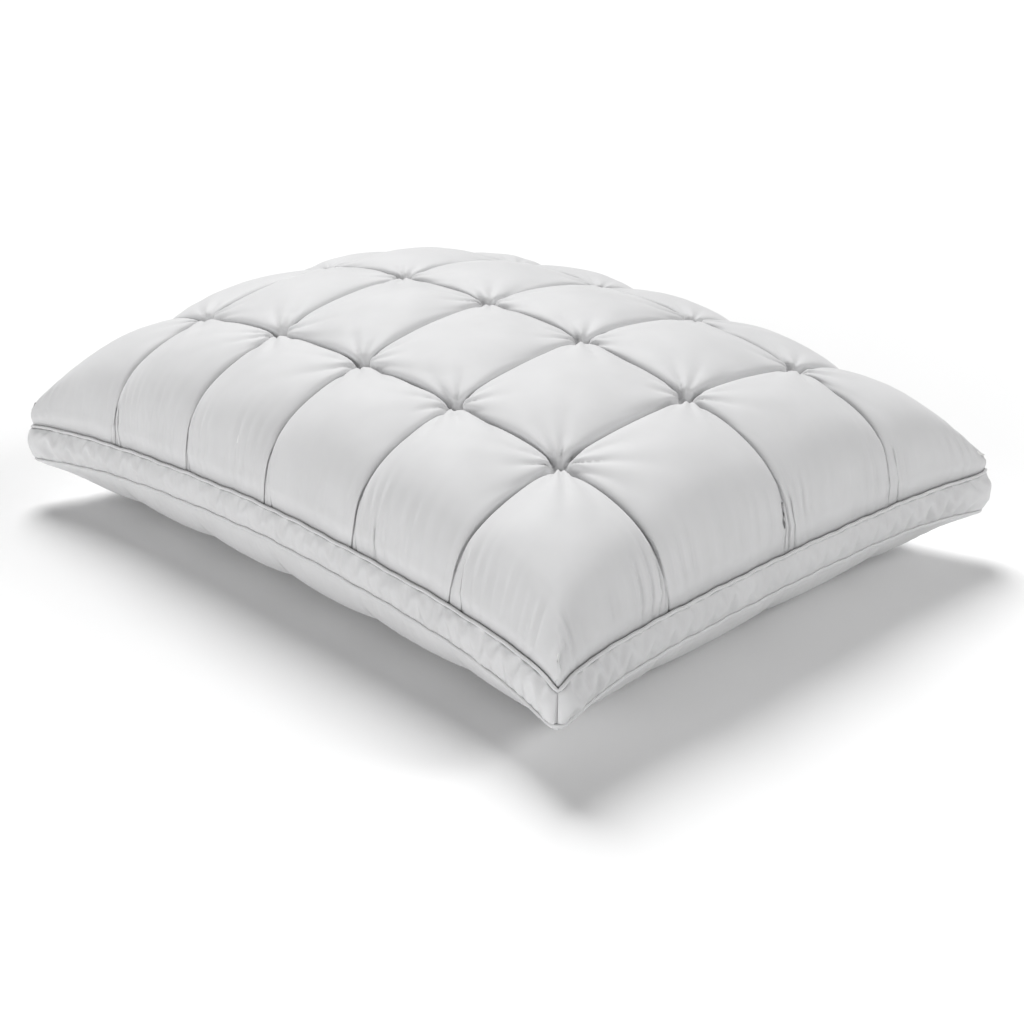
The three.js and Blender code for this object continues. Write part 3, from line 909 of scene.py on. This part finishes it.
def sweep(name, centres, outs, section, material, scale=1.0):
    """A closed section of (out, up) points carried round a closed line of centres."""
    section = np.asarray(section)
    tangents = unit(np.roll(centres, -1, axis=0) - np.roll(centres, 1, axis=0))
    ups = unit(np.cross(outs, tangents))
    ups *= np.sign(ups[:, 2:3])
    swell = np.broadcast_to(scale, (len(centres),))[:, None, None]
    rings = (centres[:, None] + outs[:, None] * section[None, :, :1] * swell
             + ups[:, None] * section[None, :, 1:] * swell)
    size = len(section)
    count = len(centres)
    index = np.arange(count * size).reshape(count, size)
    beside = np.roll(index, -1, axis=1)
    ahead = np.roll(index, -1, axis=0)
    faces = np.stack([index, ahead, np.roll(ahead, -1, axis=1), beside], -1).reshape(-1, 4)
    around = np.concatenate([[0], np.cumsum(np.linalg.norm(np.diff(section, axis=0), axis=-1))])
    along = np.concatenate([[0], np.cumsum(np.linalg.norm(np.diff(centres, axis=0), axis=-1))])
    uvs = np.stack(np.broadcast_arrays(along[:, None], around[None]), -1).reshape(-1, 2)
    return make_object(name, rings.reshape(-1, 3), faces, uvs, material)


def ring_section(radius, steps):
    angles = 2 * math.pi * np.arange(steps) / steps
    return np.stack([radius * np.cos(angles), radius * np.sin(angles)], -1)


def open_tube_section(outer, inner, half_slit, steps):
    """A thick ring with a slit towards the seam."""
    angles = np.linspace(-math.pi + half_slit, math.pi - half_slit, steps)
    outside = np.stack([outer * np.cos(angles), outer * np.sin(angles)], -1)
    inside = np.stack([inner * np.cos(angles), inner * np.sin(angles)], -1)[::-1]
    return np.concatenate([outside, inside])


def add_pipings():
    t = even_places(2 * MM)[0][:-1]
    outs = rim_out(t)
    cover_section = open_tube_section(PIPING_RADIUS, PIPING_RADIUS - PIPING_WALL,
                                      math.radians(30), 15)
    for label, level in (("top", 1), ("bottom", -1)):
        centres = piping_centre(t, level)
        pucker = 1 + 0.035 * smooth_noise((len(t), 3), (len(t) // 4, 3))[:, 1, 0]
        cover = sweep(f"{label}_piping_cover", centres, outs, cover_section, piping_cloth, pucker)
        cord = sweep(f"{label}_piping_cord", centres, outs, ring_section(CORD_RADIUS, 10),
                     cord_cotton)
        for piece, slot in ((cover, "piping"), (cord, "cord")):
            stand_for(piece, piece.name.removeprefix("soft_"))


add_gusset()
add_pipings()


# ---- Tacks ----

TACK_TURNS = 4
TACK_STEP = 0.62 * MM  # from one turn of thread to the next
TACK_HALF_SPAN, TACK_RISE = 1.9 * MM, 1.1 * MM
THREAD = 0.28 * MM  # radius

def thread_ring(centre, axis_a, axis_b, half_span, half_rise, thickness):
    """Vertices and faces of one closed loop of thread."""
    turns, sides = 20, 6
    angle = 2 * math.pi * np.arange(turns) / turns
    line = (centre + np.cos(angle)[:, None] * axis_a * half_span
            + np.sin(angle)[:, None] * axis_b * half_rise)
    tangent = unit(np.roll(line, -1, 0) - np.roll(line, 1, 0))
    outward = unit(line - centre)
    side = np.cross(tangent, outward)
    around = 2 * math.pi * np.arange(sides) / sides
    rings = (line[:, None] + np.cos(around)[None, :, None] * outward[:, None] * thickness
             + np.sin(around)[None, :, None] * side[:, None] * thickness)
    index = np.arange(turns * sides).reshape(turns, sides)
    ahead, beside = np.roll(index, -1, 0), np.roll(index, -1, 1)
    faces = np.stack([index, ahead, np.roll(ahead, -1, 1), beside], -1).reshape(-1, 4)
    return rings.reshape(-1, 3), faces


def add_tacks(face, label):
    """A few turns of thread over each crossing of the seams, one piece for each face."""
    steps = face["steps"]
    verts, faces, total = [], [], 0
    for column in range(1, COLUMNS):
        for row in range(1, ROWS):
            place = (column * steps, row * steps)
            normal = face["normal"][place]
            along = unit(face["base"][place[0], place[1] + 1] - face["base"][place])
            across = np.cross(normal, along)
            for turn in range(TACK_TURNS):
                shift = (turn - (TACK_TURNS - 1) / 2) * TACK_STEP
                centre = face["points"][place] - normal * FABRIC / 2 + along * shift
                tilt = unit(across + along * rng.uniform(-0.15, 0.15))
                ring = thread_ring(centre, tilt, normal, TACK_HALF_SPAN, TACK_RISE, THREAD)
                verts.append(ring[0])
                faces.append(ring[1] + total)
                total += len(ring[0])
    piece = make_object(f"{label}_tacks", np.concatenate(verts), np.concatenate(faces),
                        material=thread_cotton)
    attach(piece, "root")


add_tacks(top, "top")
add_tacks(bottom, "bottom")


# ---- Linings, fill pads and core ----

TOP_TICKING_FLAT = (LENGTH * 0.82, WIDTH * 0.7)
BOTTOM_TICKING_FLAT = (LENGTH * 0.8, WIDTH * 0.7)
LINING_DROP = 5.2 * MM  # from the level of the seams to the lining under them
FILL_GAP = 0.9 * MM  # from a panel to the fill under it
CORE_GAP = 2.5 * MM  # from a lining to the core's bag


def add_lining(face, label):
    every_fourth = (slice(None, None, 4), slice(None, None, 4))
    normal = face["normal"][every_fourth]
    upper = face["base"][every_fourth] - normal * LINING_DROP
    inner = upper - normal * LINING
    piece = shell(f"{label}_lining", upper, inner, face["level"], flat_coordinates(upper),
                  lining_cloth)
    finish_sheet(piece, f"{label}_lining")


def add_fills(face, label):
    steps = face["steps"]
    margin = steps // 8
    stride = 2
    outer = face["points"] - grid_normals(face["points"], face["level"]) * (FABRIC + FILL_GAP)
    inner = face["base"] - face["normal"] * (LINING_DROP - CLEARANCE)
    for row in range(ROWS):
        for column in range(COLUMNS):
            pick_a = slice(column * steps + margin, (column + 1) * steps - margin + 1, stride)
            pick_b = slice(row * steps + margin, (row + 1) * steps - margin + 1, stride)
            name = f"{label}_fill_r{row + 1}_c{column + 1}"
            piece = shell(name, outer[pick_a, pick_b], inner[pick_a, pick_b], face["level"],
                          None, fill_fibre)
            stand_for(piece, name)


def core_grid(face, drop):
    """Grid at half-box reach into the outer boxes, at a drop under the seams' level."""
    steps = face["steps"]
    half = steps // 2
    pick = slice(half, -half, 2)
    return (face["base"] - face["normal"] * drop)[pick, pick]


def add_core():
    gap = LINING_DROP + LINING + CORE_GAP
    for face, label, flat in ((top, "top", TOP_TICKING_FLAT),
                              (bottom, "bottom", BOTTOM_TICKING_FLAT)):
        outer = core_grid(face, gap)
        inner = core_grid(face, gap + TICKING)
        name = f"core_ticking_{label}"
        piece = shell(name, outer, inner, face["level"], flat_coordinates(outer), lining_cloth)
        finish_sheet(piece, name)
    drop = gap + TICKING + CLEARANCE
    piece = shell("core_fill", core_grid(top, drop), core_grid(bottom, drop), 1, None, core_fibre)
    stand_for(piece, "core_fill")


add_lining(top, "top")
add_lining(bottom, "bottom")
add_fills(top, "top")
add_fills(bottom, "bottom")
add_core()


# ---- Camera, floor and light ----

CAMERA_PLACE = (0.9108, -0.8584, 0.4921 + CORNER_HEIGHT)
CAMERA_PITCH, CAMERA_TURN = 23.127, 45.807  # degrees, down and round
CAMERA_LENS, CAMERA_SENSOR = 55.22, 36.0


def add_camera():
    data = bpy.data.cameras.new("camera")
    data.sensor_width = CAMERA_SENSOR
    data.lens = CAMERA_LENS
    camera = bpy.data.objects.new("camera", data)
    camera.location = CAMERA_PLACE
    camera.rotation_euler = (math.radians(90 - CAMERA_PITCH), 0, math.radians(CAMERA_TURN))
    bpy.context.scene.collection.objects.link(camera)
    bpy.context.scene.camera = camera


def add_sun(name, strength, angle, azimuth, elevation):
    """A soft sun; its light travels along azimuth in plan, at an elevation, in degrees."""
    data = bpy.data.lights.new(name, "SUN")
    data.energy = strength
    data.angle = math.radians(angle)
    lamp = bpy.data.objects.new(name, data)
    lamp.rotation_euler = (math.radians(90 - elevation), 0, math.radians(azimuth))
    bpy.context.scene.collection.objects.link(lamp)


def add_floor():
    size = 40.0
    corners = [(-size, -size, 0), (size, -size, 0), (size, size, 0), (-size, size, 0)]
    nodes = Nodes("floor_white")
    nodes.shader.inputs["Base Color"].default_value = (0.9, 0.9, 0.9, 1)
    nodes.shader.inputs["Emission Color"].default_value = (1, 1, 1, 1)
    nodes.shader.inputs["Emission Strength"].default_value = 0.0
    nodes.shader.inputs["Roughness"].default_value = 1.0
    nodes.shader.inputs["Specular IOR Level"].default_value = 0.0
    floor = make_object("floor", corners, [(0, 1, 2, 3)], material=nodes.material)


def add_world():
    world = bpy.data.worlds.new("studio")
    world.use_nodes = True
    world.node_tree.nodes["Background"].inputs[0].default_value = (1, 1, 1, 1)
    world.node_tree.nodes["Background"].inputs[1].default_value = 0.17
    bpy.context.scene.world = world
    bpy.context.scene.view_settings.view_transform = "Standard"


add_camera()
add_sun("key", 2.9, 28, 240, 50)
add_sun("side", 1.2, 22, 130, 30)
add_sun("front", 2.1, 40, 6, 6)
add_floor()
add_world()
